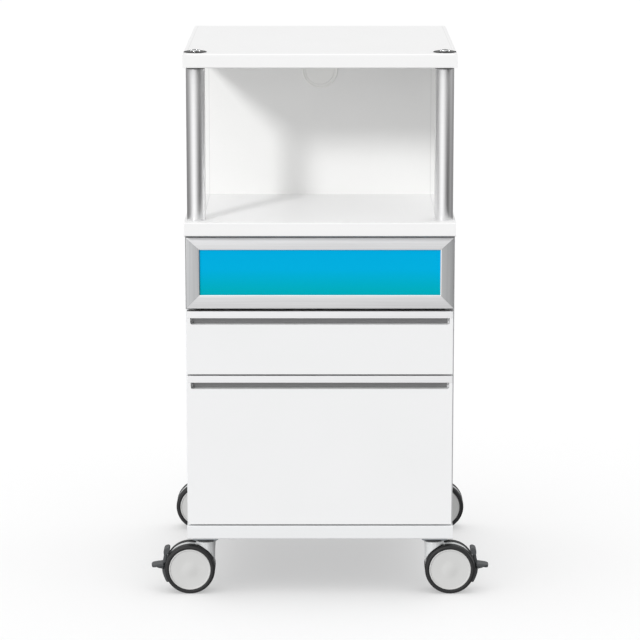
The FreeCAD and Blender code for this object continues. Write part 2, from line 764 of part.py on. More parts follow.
def housing(name, brake, spot, rotation):
    """Central spine under a round column and the crown that turns on the swivel pin."""
    crown = cylinder(f"{name}_crown", "crown_diameter / 2", "crown_thickness",
                     ("0", "0", f"{CROWN_TOP} - crown_thickness"))
    disc = pin_across(f"{name}_spine_disc", f"2 * {SPINE_RADIUS}", "spine_thickness",
                      ("caster_trail", WHEEL_LEVEL))
    neck_low = f"({WHEEL_LEVEL} + spine_neck_rise)"
    neck = box(f"{name}_neck",
               ("caster_trail + crown_diameter / 2", "spine_thickness",
                f"{CROWN_TOP} - {neck_low}"),
               ("-crown_diameter / 2", "-spine_thickness / 2", neck_low))
    blank = cylinder(f"{name}_column_blank", "crown_diameter / 2",
                     f"{CROWN_TOP} - crown_thickness - {neck_low}", ("0", "0", neck_low))
    clearances = [
        pin_across(f"{name}_{wheel}_clearance", "wheel_diameter + 4 * wheel_gap",
                   "crown_diameter", ("caster_trail", WHEEL_LEVEL))
        for wheel in ("fore", "aft")
    ]
    for clearance, sense in zip(clearances, ("-", "+")):
        bind(clearance, "Placement.Base.y",
             f"{sense}(spine_thickness + crown_diameter) / 2 + crown_diameter / 2")
    column = cut(f"{name}_column", blank, clearances)
    solid = fused(f"{name}_solid", [crown, disc, neck, column])
    cut_width = "spine_thickness + 2 * overrun"
    cut_side = "-spine_thickness / 2 - overrun"
    tools = [
        box(f"{name}_lower_cut",
            (f"2 * {SPINE_RADIUS} + 2 * overrun", cut_width, SPINE_RADIUS),
            (f"caster_trail - {SPINE_RADIUS} - overrun", cut_side,
             f"{WHEEL_LEVEL} - spine_lower_drop - {SPINE_RADIUS}")),
        cylinder(f"{name}_pin_socket", "kingpin_diameter / 2 + running_fit",
                 "kingpin_length + overrun",
                 ("0", "0", f"{PLATE_LOW} - kingpin_length - running_fit")),
        pin_across(f"{name}_axle_hole", "axle_diameter", cut_width,
                   ("caster_trail", WHEEL_LEVEL)),
    ]
    if brake:
        cheek = "(pedal_stub_diameter / 2 + pedal_cheek_margin)"
        tools += [
            box(f"{name}_toe_cut",
                (SPINE_RADIUS, cut_width, SPINE_RADIUS),
                (f"caster_trail + {PIVOT_REACH} - {cheek}", cut_side,
                 f"{WHEEL_LEVEL} + pedal_pivot_height - {cheek} - {SPINE_RADIUS}")),
            box(f"{name}_pedal_slot",
                (SPINE_RADIUS, "pedal_lug_thickness + 2 * pedal_slot_gap",
                 "pedal_slot_low + pedal_slot_high"),
                (f"caster_trail + {PIVOT_REACH} - pedal_lug_radius - pedal_slot_back_gap",
                 "-pedal_lug_thickness / 2 - pedal_slot_gap",
                 f"{WHEEL_LEVEL} - pedal_slot_low")),
            pin_across(f"{name}_pivot_hole", "pedal_stub_diameter + 2 * running_fit", cut_width,
                       (f"caster_trail + {PIVOT_REACH}",
                        f"{WHEEL_LEVEL} + pedal_pivot_height")),
        ]
    return place(cut(f"{name}_housing", solid, tools), spot + ("0",), rotation)


# Corners of the pedal round the wheel centre, as shares of the spine radius

UPPER_TAB_SHARES = [(0.836, 0.816), (1.06, 0.796), (1.082, 0.551), (0.888, 0.571)]
LOWER_TAB_SHARES = [(1.143, 0.163), (1.52, -0.061), (1.49, -0.153), (1.163, -0.2)]
OUTER_STEM_SHARES = [(1.092, 0.347)]
HEEL_SHARES = [(1.122, -0.204), (1.02, -0.449), (0.878, -0.714), (0.765, -0.673)]
INNER_STEM_SHARES = [(0.918, -0.408), (1.008, -0.122), (1.012, 0.102), (0.96, 0.347),
                     (0.898, 0.531)]
STEM_SHARES = (UPPER_TAB_SHARES[:2] + OUTER_STEM_SHARES + LOWER_TAB_SHARES[:3]
               + HEEL_SHARES + INNER_STEM_SHARES)


def round_spine(shares):
    """Rules for corners given as shares of the spine radius."""
    return [(f"{across} * {SPINE_RADIUS}", f"{up} * {SPINE_RADIUS}") for across, up in shares]


def brake_pedal(name, spot, rotation):
    """Foot lever with an upper and a lower tab, hung in the housing on two short stubs."""
    body = new_body(f"{name}_brake_pedal")
    pivot = (PIVOT_REACH, "pedal_pivot_height")
    stem_thickness = "spine_thickness - 2 * pedal_stem_side_gap"
    lug_arm = rectangle(PIVOT_REACH, f"{pivot[1]} - pedal_lug_radius / 2",
                        "pedal_pivot_inset + 2 * spine_rim", "pedal_lug_radius")
    outlines = [
        (round_spine(STEM_SHARES), stem_thickness),
        (round_spine(UPPER_TAB_SHARES), "pedal_tab_width"),
        (round_spine(LOWER_TAB_SHARES), "pedal_tab_width"),
        (lug_arm, "pedal_lug_thickness"),
    ]
    for outline, thickness in outlines:
        sketch = new_sketch(body, "XZ_Plane")
        draw_outline(sketch, outline)
        add_pad(body, sketch, thickness, side="Symmetric")
    rounds = [
        ("2 * pedal_lug_radius", "pedal_lug_thickness"),
        ("pedal_stub_diameter", "spine_thickness - 2 * pedal_stub_end_gap"),
    ]
    for diameter, thickness in rounds:
        sketch = new_sketch(body, "XZ_Plane")
        draw_circle(sketch, pivot, diameter)
        add_pad(body, sketch, thickness, side="Symmetric")
    across, along = spot
    outward = "-" if name.endswith("left") else "+"
    return place(body, (f"{across} {outward} caster_trail", along, WHEEL_LEVEL), rotation)


def tyre(label):
    """Rubber tread ring with round shoulders."""
    rim = "(wheel_diameter / 2 - tyre_thickness)"
    body = turned(label, [
        (rim, "0"),
        ("wheel_diameter / 2", "0"),
        ("wheel_diameter / 2", "wheel_width"),
        (rim, "wheel_width"),
    ])
    doc.recompute()
    round_edges(body, outer_rims(body.Shape), "tyre_shoulder_radius")
    return body


def wheel_hub(label):
    """Solid wheel centre with a blind bore, a raised rim and a shallow dimple outside."""
    rim = "(wheel_diameter / 2 - tyre_thickness - running_fit)"
    bore = "(axle_diameter / 2 + running_fit)"
    face = f"({HUB_DEPTH} - hub_face_drop)"
    dimple = "(hub_dimple_diameter / 2)"
    return turned(label, [
        (bore, "0"),
        (rim, "0"),
        (rim, HUB_DEPTH),
        (f"{rim} - hub_rim_width", HUB_DEPTH),
        (f"{rim} - hub_rim_width", face),
        (dimple, face),
        (f"{dimple} - hub_dimple_drop", f"{face} - hub_dimple_drop"),
        ("0", f"{face} - hub_dimple_drop"),
        ("0", f"{face} - hub_cover"),
        (bore, f"{face} - hub_cover"),
    ])


plates = []
bearings = []
wheel_inner_face = "(spine_thickness / 2 + wheel_gap)"
for name, caster in CASTERS.items():
    right_side = caster["across"] > 0
    sign = "" if right_side else "-"
    across = f"{sign}(body_width / 2 - caster_side_inset)"
    along = caster["along"]
    turn = Rotation(Vector(0, 0, 1), 0 if right_side else 180)
    plates.append(caster_plate(name, (across, along)))
    bearings.append(caster_bearing(name, (across, along)))
    housing(name, caster["brake"], (across, along), turn)
    if caster["brake"]:
        brake_pedal(name, (across, along), turn)
    wheel_across = f"{sign}(body_width / 2 - caster_side_inset + caster_trail)"
    axle_length = f"2 * {wheel_inner_face} + 2 * ({HUB_DEPTH} - hub_face_drop - hub_cover)"
    axle = cylinder(f"{name}_axle", "axle_diameter / 2", f"{axle_length} - 2 * wheel_gap",
                    (wheel_across, f"{along} + ({axle_length}) / 2 - wheel_gap", WHEEL_LEVEL),
                    facing_front)
    for wheel, sense in (("fore", "-"), ("aft", "+")):
        facing = Rotation(Vector(1, 0, 0), 90 if wheel == "fore" else -90)
        spot = (wheel_across, f"{along} {sense} {wheel_inner_face}", WHEEL_LEVEL)
        place(tyre(f"{name}_{wheel}_tyre"), spot, facing)
        place(wheel_hub(f"{name}_{wheel}_hub"), spot, facing)
group("caster_plates", plates)
group("caster_bearings", bearings)


# Names of the pieces that are written out, one node each

NODES = [
    "top_board", "top_edge_strips", "shelf_board", "shelf_side_rails", "front_posts",
    "post_tie_bolts", "bay_back_panel", "cable_grommet_ring", "cable_grommet_cap",
    "bay_side_frames", "bay_rear_cover", "side_panels", "bottom_board", "carcass_back_panel",
    "cabinet_runner_rails", "caster_plates", "caster_bearings",
    "drawer_1_frame", "drawer_1_glass",
    "drawer_2_front", "drawer_2_grip", "drawer_3_front", "drawer_3_grip",
]
NODES += [f"drawer_{number}_{piece}" for number in DRAWERS for piece in ("box", "rails")]
NODES += [f"runner_slides_{number}" for number in DRAWERS]
for name, caster in CASTERS.items():
    NODES += [f"{name}_housing", f"{name}_axle"]
    NODES += [f"{name}_{wheel}_{part}" for wheel in ("fore", "aft") for part in ("tyre", "hub")]
    if caster["brake"]:
        NODES.append(f"{name}_brake_pedal")


# Checks, then the files

doc.recompute()
faults = [item.Label for item in doc.Objects
          if "Invalid" in item.State or "Error" in item.State]
assert not faults, f"failed objects: {faults}"
pieces = {item.Label: item for item in doc.Objects if item.Label in NODES}
missing = sorted(set(NODES) - set(pieces))
assert not missing, f"missing sub-parts: {missing}"
for label, piece in pieces.items():
    assert not piece.Shape.isNull() and piece.Shape.isValid(), f"bad shape: {label}"
    assert piece.Shape.Solids, f"no solid: {label}"

os.makedirs("parts", exist_ok=True)
for label in NODES:
    pieces[label].Shape.exportStep(f"parts/{label}.step")
whole = Part.makeCompound([pieces[label].Shape for label in NODES])
print(f"{len(NODES)} nodes, {len(whole.Solids)} solids, box {whole.BoundBox}")
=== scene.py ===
import bmesh
import bpy
import json
import math
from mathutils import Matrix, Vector


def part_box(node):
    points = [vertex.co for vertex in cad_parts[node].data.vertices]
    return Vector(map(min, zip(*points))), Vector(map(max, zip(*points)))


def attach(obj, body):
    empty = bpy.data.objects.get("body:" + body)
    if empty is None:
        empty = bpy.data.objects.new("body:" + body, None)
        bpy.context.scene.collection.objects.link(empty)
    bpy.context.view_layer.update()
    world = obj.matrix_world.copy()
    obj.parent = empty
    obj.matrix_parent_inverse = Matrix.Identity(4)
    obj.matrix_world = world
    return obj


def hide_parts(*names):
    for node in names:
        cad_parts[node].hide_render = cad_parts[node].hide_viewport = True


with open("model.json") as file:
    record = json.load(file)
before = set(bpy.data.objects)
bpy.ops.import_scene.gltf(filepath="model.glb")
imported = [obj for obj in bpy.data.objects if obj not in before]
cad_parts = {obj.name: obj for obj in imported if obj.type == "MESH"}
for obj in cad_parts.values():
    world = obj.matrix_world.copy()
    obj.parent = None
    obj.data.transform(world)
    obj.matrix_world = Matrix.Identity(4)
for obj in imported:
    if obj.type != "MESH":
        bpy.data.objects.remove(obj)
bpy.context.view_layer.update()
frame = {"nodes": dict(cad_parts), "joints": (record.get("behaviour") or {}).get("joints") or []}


# Caster plates and bearings
# Squares of zinc-plated sheet steel with the swivel pin riveted in, each held under the bottom
# board by four pan-head screws. A black acetal ring on the pin carries the housing.

MM = 0.001
PLATE_THICKNESS = 3
SCREW_HEAD_RADIUS = 4.2
SCREW_HEAD_HEIGHT = 2.4
SCREW_RIM = 0.8
SCREW_CORNER_INSET = 6
RECESS_ARM = 2.3
RECESS_WAIST = 1


def linear(colour):
    """An sRGB hex colour as linear red, green, blue and alpha."""
    shares = [int(colour[place:place + 2], 16) / 255 for place in (1, 3, 5)]
    bent = [share / 12.92 if share <= 0.04045 else ((share + 0.055) / 1.055) ** 2.4
            for share in shares]
    return (*bent, 1.0)


def add(tree, kind, inputs=(), **settings):
    """Adds a node with its settings; an input is a plain value or the socket that feeds it."""
    made = tree.nodes.new(kind)
    for name, value in settings.items():
        setattr(made, name, value)
    for name, value in dict(inputs).items():
        if isinstance(value, bpy.types.NodeSocket):
            tree.links.new(value, made.inputs[name])
        else:
            made.inputs[name].default_value = value
    return made


def new_finish(name, **values):
    """A material with plain values on its shader: metallic, roughness, ior, coat and the like."""
    material = bpy.data.materials.new(name)
    material.use_nodes = True
    shader = material.node_tree.nodes["Principled BSDF"]
    for socket, value in values.items():
        shader.inputs[socket.replace("_", " ").title().replace("Ior", "IOR")].default_value = value
    return material, material.node_tree, shader


def break_up(tree, shader, tones, cloud, roughness, grain, depth, stretch=(1, 1, 1)):
    """Gives a finish its cloudy tone and its fine grain, both sized in millimetres.

    Two tones drift over patches of the cloud size, and the grain moves the roughness between
    two values and raises the surface by its depth. Stretch draws both out along an axis.
    Returns the place on the object and the drifting tone, for patterns laid over them.
    """
    place = add(tree, "ShaderNodeTexCoord").outputs["Object"]
    sizes = [1 / (cloud * length * MM) for length in stretch]
    patches = add(tree, "ShaderNodeMapping", {"Vector": place, "Scale": sizes})
    drift = add(tree, "ShaderNodeTexNoise",
                {"Vector": patches.outputs["Vector"], "Scale": 1, "Detail": 3})
    tone = add(tree, "ShaderNodeMix", {"Factor": drift.outputs["Fac"]}, data_type="RGBA")
    for socket, colour in zip(("A", "B"), tones):
        next(s for s in tone.inputs if s.name == socket and s.type == "RGBA"
             ).default_value = linear(colour)
    tinted = next(s for s in tone.outputs if s.type == "RGBA")
    scale = [1 / (grain * length * MM) for length in stretch]
    drawn = add(tree, "ShaderNodeMapping", {"Vector": place, "Scale": scale})
    fine = add(tree, "ShaderNodeTexNoise",
               {"Vector": drawn.outputs["Vector"], "Scale": 1, "Detail": 3})
    gloss = add(tree, "ShaderNodeMapRange",
                {"Value": fine.outputs["Fac"], "From Min": 0.3, "From Max": 0.7,
                 "To Min": roughness[0], "To Max": roughness[1]})
    relief = add(tree, "ShaderNodeBump",
                 {"Height": fine.outputs["Fac"], "Distance": depth * MM, "Strength": 1})
    tree.links.new(tinted, shader.inputs["Base Color"])
    tree.links.new(gloss.outputs["Result"], shader.inputs["Roughness"])
    tree.links.new(relief.outputs["Normal"], shader.inputs["Normal"])
    return place, tinted


def wear(node, finish, edge=0.4):
    """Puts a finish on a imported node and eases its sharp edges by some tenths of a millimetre."""
    thing = frame["nodes"][node]
    for own in thing.material_slots:
        own.material = finish
    joined = thing.modifiers.new("joined", "WELD")
    joined.merge_threshold = 0.005 * MM
    bevel = thing.modifiers.new("eased_edges", "BEVEL")
    bevel.width = edge * MM
    bevel.segments = 2
    bevel.limit_method = "ANGLE"
    bevel.angle_limit = math.radians(40)
    bevel.harden_normals = True
    flat = thing.modifiers.new("flat", "WEIGHTED_NORMAL")
    flat.weight = 100
    return thing


def turn(shape, profile, put, steps=96):
    """Adds a form turned from a closed profile of (radius, distance along the axis).

    A radius may be a function of the angle, for a socket that isn't round. put sets a point in
    place from its two distances off the axis and the one along it.
    """
    rings = []
    for radius, along in profile:
        if radius == 0:
            rings.append([shape.verts.new(put(0, 0, along))] * steps)
            continue
        ring = []
        for step in range(steps):
            angle = 2 * math.pi * step / steps
            reach = radius(angle) if callable(radius) else radius
            ring.append(shape.verts.new(put(reach * math.cos(angle), reach * math.sin(angle),
                                            along)))
        rings.append(ring)
    for index, ring in enumerate(rings):
        last = rings[index - 1]
        for step in range(steps):
            corners = [last[step - 1], last[step], ring[step], ring[step - 1]]
            corners = [v for place, v in enumerate(corners) if v not in corners[:place]]
            if len(corners) > 2:
                shape.faces.new(corners)


def piece(name, shape, finishes, body, stands_for=(), crease=32):
    """Turns a mesh in the making into a piece that rides on a body."""
    bmesh.ops.recalc_face_normals(shape, faces=shape.faces)
    for face in shape.faces:
        face.smooth = True
    for edge in shape.edges:
        edge.smooth = len(edge.link_faces) == 2 and edge.calc_face_angle() < math.radians(crease)
    mesh = bpy.data.meshes.new(name)
    shape.to_mesh(mesh)
    shape.free()
    for finish in finishes:
        mesh.materials.append(finish)
    thing = bpy.data.objects.new(name, mesh)
    bpy.context.scene.collection.objects.link(thing)
    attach(thing, body)
    if stands_for:
        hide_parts(*stands_for)
    return thing


# Blue-passivated zinc: cool satin grey, with faint spangles a few millimetres across
zinc, tree, shader = new_finish("zinc_plated_steel", metallic=1)
break_up(tree, shader, ("#8B8F93", "#A3A7AA"), cloud=4, roughness=(0.28, 0.42),
         grain=0.6, depth=0.01)
wear("caster_plates", zinc, edge=0.6)

# Black acetal: moulded, waxy, nearly matt
acetal, tree, shader = new_finish("moulded_black_acetal", ior=1.48)
break_up(tree, shader, ("#141516", "#1D1E20"), cloud=12, roughness=(0.35, 0.5),
         grain=0.5, depth=0.01)
wear("caster_bearings", acetal, edge=0.5)


def cross_recess(angle):
    """Radius of a cross recess in a screw head, wide at four angles and narrow between them."""
    return RECESS_ARM if abs(math.sin(2 * angle)) < 0.5 else RECESS_WAIST


def screw_head(shape, put):
    """A pan head with a cross recess, its rim at zero and its top at the head's height."""
    turn(shape, [(0, 0), (SCREW_HEAD_RADIUS, 0), (SCREW_HEAD_RADIUS, SCREW_RIM),
                 (0.86 * SCREW_HEAD_RADIUS, 0.8 * SCREW_HEAD_HEIGHT),
                 (0.62 * SCREW_HEAD_RADIUS, SCREW_HEAD_HEIGHT),
                 (cross_recess, SCREW_HEAD_HEIGHT), (cross_recess, 0.3 * SCREW_HEAD_HEIGHT),
                 (0, 0.3 * SCREW_HEAD_HEIGHT)], put, steps=24)


plate_low, plate_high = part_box("caster_plates")
swivels = {joint["name"]: Vector(joint["pos_m"])
           for joint in frame["joints"] if joint["name"].endswith("_swivel")}
plate_reach = swivels["front_right_swivel"].y - plate_low.y
plate_under = plate_high.z - PLATE_THICKNESS * MM
shape = bmesh.new()
for spot in swivels.values():
    for right in (-1, 1):
        for back in (-1, 1):
            reach = plate_reach - SCREW_CORNER_INSET * MM
            foot = Vector((spot.x + right * reach, spot.y + back * reach, plate_under))
            screw_head(shape, lambda across, deep, along, foot=foot:
                       foot + Vector((across, deep, -along)) * MM)
piece("caster_plate_screws", shape, [zinc], "cabinet")


# Caster housings
# One moulded part each: a thin spine between the two wheels, a round column that rises clear of
# the treads, and the crown that turns on the bearing. Silver-grey nylon with a fine eroded grain.

CASTERS = ("front_left", "front_right", "rear_left", "rear_right")

# Millimetres from the axle: outward to the caster's side of the cabinet, or up
SPINE_RADIUS = 46.8
SPINE_HALF = 6.4
SPINE_LOW = -18
TOE_REACH = 37
CHEEK_HIGH = 2
SLOT_HALF = 3.3
SLOT_BACK = 29
SLOT_LOW = -12
SLOT_HIGH = 26.5
CROWN_HIGH = 52
CROWN_RADIUS = 18.4
CROWN_THICKNESS = 6
TREAD_CLEARANCE = 48.8
NECK_LOW = 9.5
COLUMN_SLICES = 16
COLUMN_STEPS = 8
SLICE_OVERLAP = 0.4
HOUSING_VOXEL = 1.1

nylon, tree, shader = new_finish("silver_grey_nylon", metallic=0.1, ior=1.53)
break_up(tree, shader, ("#CDCFCF", "#D8D9DA"), cloud=25, roughness=(0.34, 0.46),
         grain=0.6, depth=0.012)


def middle(node):
    """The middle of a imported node's box."""
    low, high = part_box(node)
    return (low + high) / 2


def beside(name):
    """Sets points in place round a caster's axle: millimetres outward, up and back."""
    hub = middle(f"{name}_axle")
    side = math.copysign(1, hub.x)
    return lambda across, up, along: hub + Vector((side * across, along, up)) * MM


def slab(shape, outline, low, high, put):
    """Adds a closed slab: an outline between two levels."""
    rings = [[shape.verts.new(put(across, up, level)) for across, up in outline]
             for level in (low, high)]
    for ring in rings:
        shape.faces.new(ring)
    for index in range(len(outline)):
        shape.faces.new([rings[0][index - 1], rings[0][index], rings[1][index],
                         rings[1][index - 1]])


def mould(thing, voxel, passes):
    """Melts the overlapping solids of a piece into one moulding with soft inner corners."""
    melted = thing.modifiers.new("melted", "REMESH")
    melted.mode = "VOXEL"
    melted.voxel_size = voxel * MM
    melted.use_smooth_shade = True
    softened = thing.modifiers.new("softened", "SMOOTH")
    softened.factor = 0.5
    softened.iterations = passes
    return thing


def arc(radius, start, end, steps=24):
    """Points on a circle round the axle, between two angles in degrees."""
    angles = [math.radians(start + (end - start) * step / steps) for step in range(steps + 1)]
    return [(radius * math.cos(angle), radius * math.sin(angle)) for angle in angles]


def angle_at(up):
    """The angle, in degrees, at which the spine's rim is that far above the axle."""
    return math.degrees(math.asin(up / SPINE_RADIUS))


def spine(trail, toe):
    """Outline of the spine, from its toe over the crown to its heel and back."""
    crown = [(CROWN_RADIUS - trail, CROWN_HIGH), (-CROWN_RADIUS - trail, CROWN_HIGH)]
    shoulder = math.degrees(math.acos((CROWN_RADIUS - trail) / SPINE_RADIUS))
    start = angle_at(toe[-1][1])
    return (toe + arc(SPINE_RADIUS, start, shoulder) + crown
            + arc(SPINE_RADIUS, 180 - angle_at(NECK_LOW), 180 - angle_at(SPINE_LOW)))


for name in CASTERS:
    put = beside(name)
    trail = abs(middle(f"{name}_axle").x - swivels[f"{name}_swivel"].x) / MM
    shape = bmesh.new()
    if name.startswith("front"):
        cheek = [(TOE_REACH, SPINE_LOW), (TOE_REACH, CHEEK_HIGH)]
        core = [(TOE_REACH, SPINE_LOW), (TOE_REACH, SLOT_LOW), (SLOT_BACK, SLOT_LOW),
                (SLOT_BACK, SLOT_HIGH)]
        slab(shape, spine(trail, core), -SLOT_HALF, SLOT_HALF, put)
        slab(shape, spine(trail, cheek), -SPINE_HALF, -SLOT_HALF, put)
        slab(shape, spine(trail, cheek), SLOT_HALF, SPINE_HALF, put)
    else:
        toe = [(math.sqrt(SPINE_RADIUS ** 2 - SPINE_LOW ** 2), SPINE_LOW)]
        slab(shape, spine(trail, toe), -SPINE_HALF, SPINE_HALF, put)
    deep = CROWN_RADIUS - SPINE_HALF
    for number in range(COLUMN_SLICES):
        near = SPINE_HALF + deep * number / COLUMN_SLICES - SLICE_OVERLAP
        far = SPINE_HALF + deep * (number + 1) / COLUMN_SLICES
        half = math.sqrt(CROWN_RADIUS ** 2 - ((near + far) / 2) ** 2)
        outline = [(half - trail, CROWN_HIGH), (-half - trail, CROWN_HIGH)]
        for step in range(COLUMN_STEPS + 1):
            across = -half - trail + 2 * half * step / COLUMN_STEPS
            rise = math.sqrt(max(TREAD_CLEARANCE ** 2 - across ** 2, NECK_LOW ** 2))
            outline.append((across, min(rise, CROWN_HIGH - CROWN_THICKNESS)))
        for low, high in ((near, far), (-far, -near)):
            slab(shape, outline, low, high, put)
    housing = piece(f"{name}_caster_housing", shape, [nylon], f"{name}_caster",
                    [f"{name}_housing"])
    mould(housing, HOUSING_VOXEL, 6)
    wear(f"{name}_axle", zinc, edge=0.3)


# Wheels
# Each caster has two. A soft charcoal polyurethane tread is moulded round a wheel centre of
# glossy light-grey ABS, whose outer face has a raised rim and a low dome in its middle.

WHEEL_SETBACK = 7

# Each point is its radius, its distance out from the inner face and the length cut off its corner
TYRE_PROFILE = [(39.6, 0.2, 0), (45, 0.1, 0), (47.5, 0.4, 2.5), (47.5, 16.2, 4.5),
                (43.2, 17, 1.5), (40.4, 16.5, 0.8), (39.6, 15.6, 0)]
HUB_PROFILE = [(0, 15.9, 0), (5, 15.75, 0), (10, 15.25, 0), (14, 14.75, 0), (17, 14.55, 0),
               (22, 14.6, 0), (36.4, 14.9, 0), (37.2, 16.1, 0.3), (38.7, 16.2, 0.5),
               (39.4, 15.4, 0.4), (39.4, 0, 0.4), (4.3, 0, 0.3), (4.3, 11, 0), (0, 11, 0)]


def eased(corners, steps=4):
    """An outline with its corners rounded; each corner is (across, up, length cut off)."""
    points = []
    count = len(corners)
    for index, (across, up, cut) in enumerate(corners):
        corner = Vector((across, up))
        before = Vector(corners[index - 1][:2])
        after = Vector(corners[(index + 1) % count][:2])
        if not cut:
            points.append(corner)
            continue
        start = corner + (before - corner).normalized() * cut
        end = corner + (after - corner).normalized() * cut
        for step in range(steps + 1):
            share = step / steps
            points.append(start * (1 - share) ** 2 + corner * 2 * share * (1 - share)
                          + end * share ** 2)
    return [tuple(point) for point in points]


# Polyurethane tread: charcoal and nearly matt, with the fine grain of its mould
tread, tree, shader = new_finish("grey_polyurethane_tread", specular_ior_level=0.35, ior=1.5)
break_up(tree, shader, ("#1D1D1E", "#272728"), cloud=14, roughness=(0.42, 0.6),
         grain=0.5, depth=0.02)

# Glossy ABS: light grey, clean mould gloss with hardly any grain
abs_grey, tree, shader = new_finish("glossy_grey_abs", ior=1.53)
break_up(tree, shader, ("#C4C4C3", "#CBCBCA"), cloud=30, roughness=(0.3, 0.38),
         grain=1.2, depth=0.004)

for name in CASTERS:
    hub = middle(f"{name}_axle")
    for wheel, sense in (("fore", -1), ("aft", 1)):
        def put(across, up, along):
            return hub + Vector((across, sense * (WHEEL_SETBACK + along), up)) * MM
        body = f"{name}_{wheel}_wheel"
        shape = bmesh.new()
        turn(shape, eased(TYRE_PROFILE), put)
        piece(f"{name}_{wheel}_tread", shape, [tread], body,
              [f"{name}_{wheel}_tyre"])
        shape = bmesh.new()
        turn(shape, eased(HUB_PROFILE, steps=3), put)
        piece(f"{name}_{wheel}_wheel_centre", shape, [abs_grey], body,
              [f"{name}_{wheel}_hub"])


# Brake pedals of the front casters
# Glass-filled nylon levers, dark grey, with a rounded upper tab for release and a broad lower
# tab for the foot. Each turns in the slot of its housing on a round lug.

# Places are millimetres outward from the axle and up from it, and an outline's third number is
# the length cut off the corner
PIVOT = (41, 6)
LUG_RADIUS = 7.8
LUG_HALF = 2.9
LUG_ARM = [(41, 2), (51, 2), (51, 10), (41, 10)]
STEM = [(43.5, 37, 3), (48, 34, 4), (50.5, 20, 3), (52.8, 9, 3), (53.6, 0, 3), (53, -10, 3),
        (49, -22, 4), (45, -30, 3), (40.5, -29.5, 2.5), (45, -18, 6), (47, -6, 4),
        (47.9, 4, 3), (45.3, 16.5, 3), (43, 25.5, 2), (42.5, 29, 2)]
STEM_HALF = 5.9
UPPER_TAB = [(37.8, 33.5, 3), (38.4, 39.9, 4), (46.5, 39.9, 4.5), (50.5, 34, 4.5),
             (49.5, 24, 3.5), (43, 25.5, 3)]
UPPER_TAB_HALF = 12.8
LOWER_TAB_LENGTH = 23.5
LOWER_TAB_HALF = 12.9
LOWER_TAB_THICKNESS = 5.8
LOWER_TAB_ROOT = (50, 9.5)
LOWER_TAB_FALL = 8
TAB_RIB = [(50, 6), (68, 3), (61, -0.5), (51, -3)]
TAB_RIB_HALF = 9
PEDAL_VOXEL = 0.8

pedal_nylon, tree, shader = new_finish("glass_filled_nylon", ior=1.53)
break_up(tree, shader, ("#383A3C", "#444648"), cloud=16, roughness=(0.36, 0.5),
         grain=0.7, depth=0.015)

for name in CASTERS[:2]:
    put = beside(name)
    shape = bmesh.new()
    slab(shape, eased(STEM), -STEM_HALF, STEM_HALF, put)
    slab(shape, eased(UPPER_TAB), -UPPER_TAB_HALF, UPPER_TAB_HALF, put)
    fall = math.radians(LOWER_TAB_FALL)

    def put_tab(out, back, thick):
        across = LOWER_TAB_ROOT[0] + out * math.cos(fall) + thick * math.sin(fall)
        up = LOWER_TAB_ROOT[1] - out * math.sin(fall) + thick * math.cos(fall)
        return put(across, up, back)
    tab = eased([(0, -LOWER_TAB_HALF, 1.5), (LOWER_TAB_LENGTH, -LOWER_TAB_HALF, 8),
                 (LOWER_TAB_LENGTH, LOWER_TAB_HALF, 8), (0, LOWER_TAB_HALF, 1.5)], steps=8)
    slab(shape, tab, -LOWER_TAB_THICKNESS, 0, put_tab)
    slab(shape, TAB_RIB, -TAB_RIB_HALF, TAB_RIB_HALF, put)
    slab(shape, LUG_ARM, -LUG_HALF, LUG_HALF, put)
    turn(shape, [(0, -LUG_HALF), (LUG_RADIUS, -LUG_HALF), (LUG_RADIUS, LUG_HALF), (0, LUG_HALF)],
         lambda across, up, along: put(PIVOT[0] + across, PIVOT[1] + up, along), steps=32)
    pedal = piece(f"{name}_foot_pedal", shape, [pedal_nylon], f"{name}_brake",
                  [f"{name}_brake_pedal"])
    mould(pedal, PEDAL_VOXEL, 5)


# Bottom board, side panels and back of the carcass
# White melamine-faced chipboard with edges banded in ABS and eased with a scraper. The melamine
# has a faint pearl in its skin, which only shows in grazing light.

SEAM_WIDTH = 0.9
SEAM_SHADE = 0.84
BAND_DEPTH = 2.5
BAND_SHADE = 0.93


def melamine(name, tones, seam=None, seam_start=0, band_end=None):
    """White melamine. A seam is a joint's distance from the cabinet's middle plane.

    It is drawn as a grey hair line behind its start, wider than the real joint so that it shows.
    Ahead of a band's end lies the front edge band, a shade greyer than the board.
    """
    material, tree, shader = new_finish(name, ior=1.52)
    place, tinted = break_up(tree, shader, tones, cloud=160, roughness=(0.36, 0.46),
                             grain=1.1, depth=0.012)
    if seam is None:
        return material
    spot = add(tree, "ShaderNodeSeparateXYZ", {"Vector": place})
    side = add(tree, "ShaderNodeMath", {0: spot.outputs["X"]}, operation="ABSOLUTE")
    near = add(tree, "ShaderNodeMath", {0: side.outputs[0], 1: seam}, operation="SUBTRACT")
    off = add(tree, "ShaderNodeMath", {0: near.outputs[0]}, operation="ABSOLUTE")
    line = add(tree, "ShaderNodeMapRange",
               {"Value": off.outputs[0], "From Max": SEAM_WIDTH * MM, "To Min": SEAM_SHADE,
                "To Max": 1})
    ahead = add(tree, "ShaderNodeMath", {0: spot.outputs["Y"], 1: seam_start},
                operation="LESS_THAN")
    shade = add(tree, "ShaderNodeMath", {0: line.outputs["Result"], 1: ahead.outputs[0]},
                operation="MAXIMUM")
    if band_end is not None:
        band = add(tree, "ShaderNodeMapRange",
                   {"Value": spot.outputs["Y"], "From Min": band_end,
                    "From Max": band_end + SEAM_WIDTH * MM, "To Min": BAND_SHADE, "To Max": 1})
        shade = add(tree, "ShaderNodeMath", {0: shade.outputs[0], 1: band.outputs["Result"]},
                    operation="MULTIPLY")
    joint = add(tree, "ShaderNodeVectorMath", {0: tinted, 1: shade.outputs[0]},
                operation="MULTIPLY")
    tree.links.new(joint.outputs[0], shader.inputs["Base Color"])
    return material


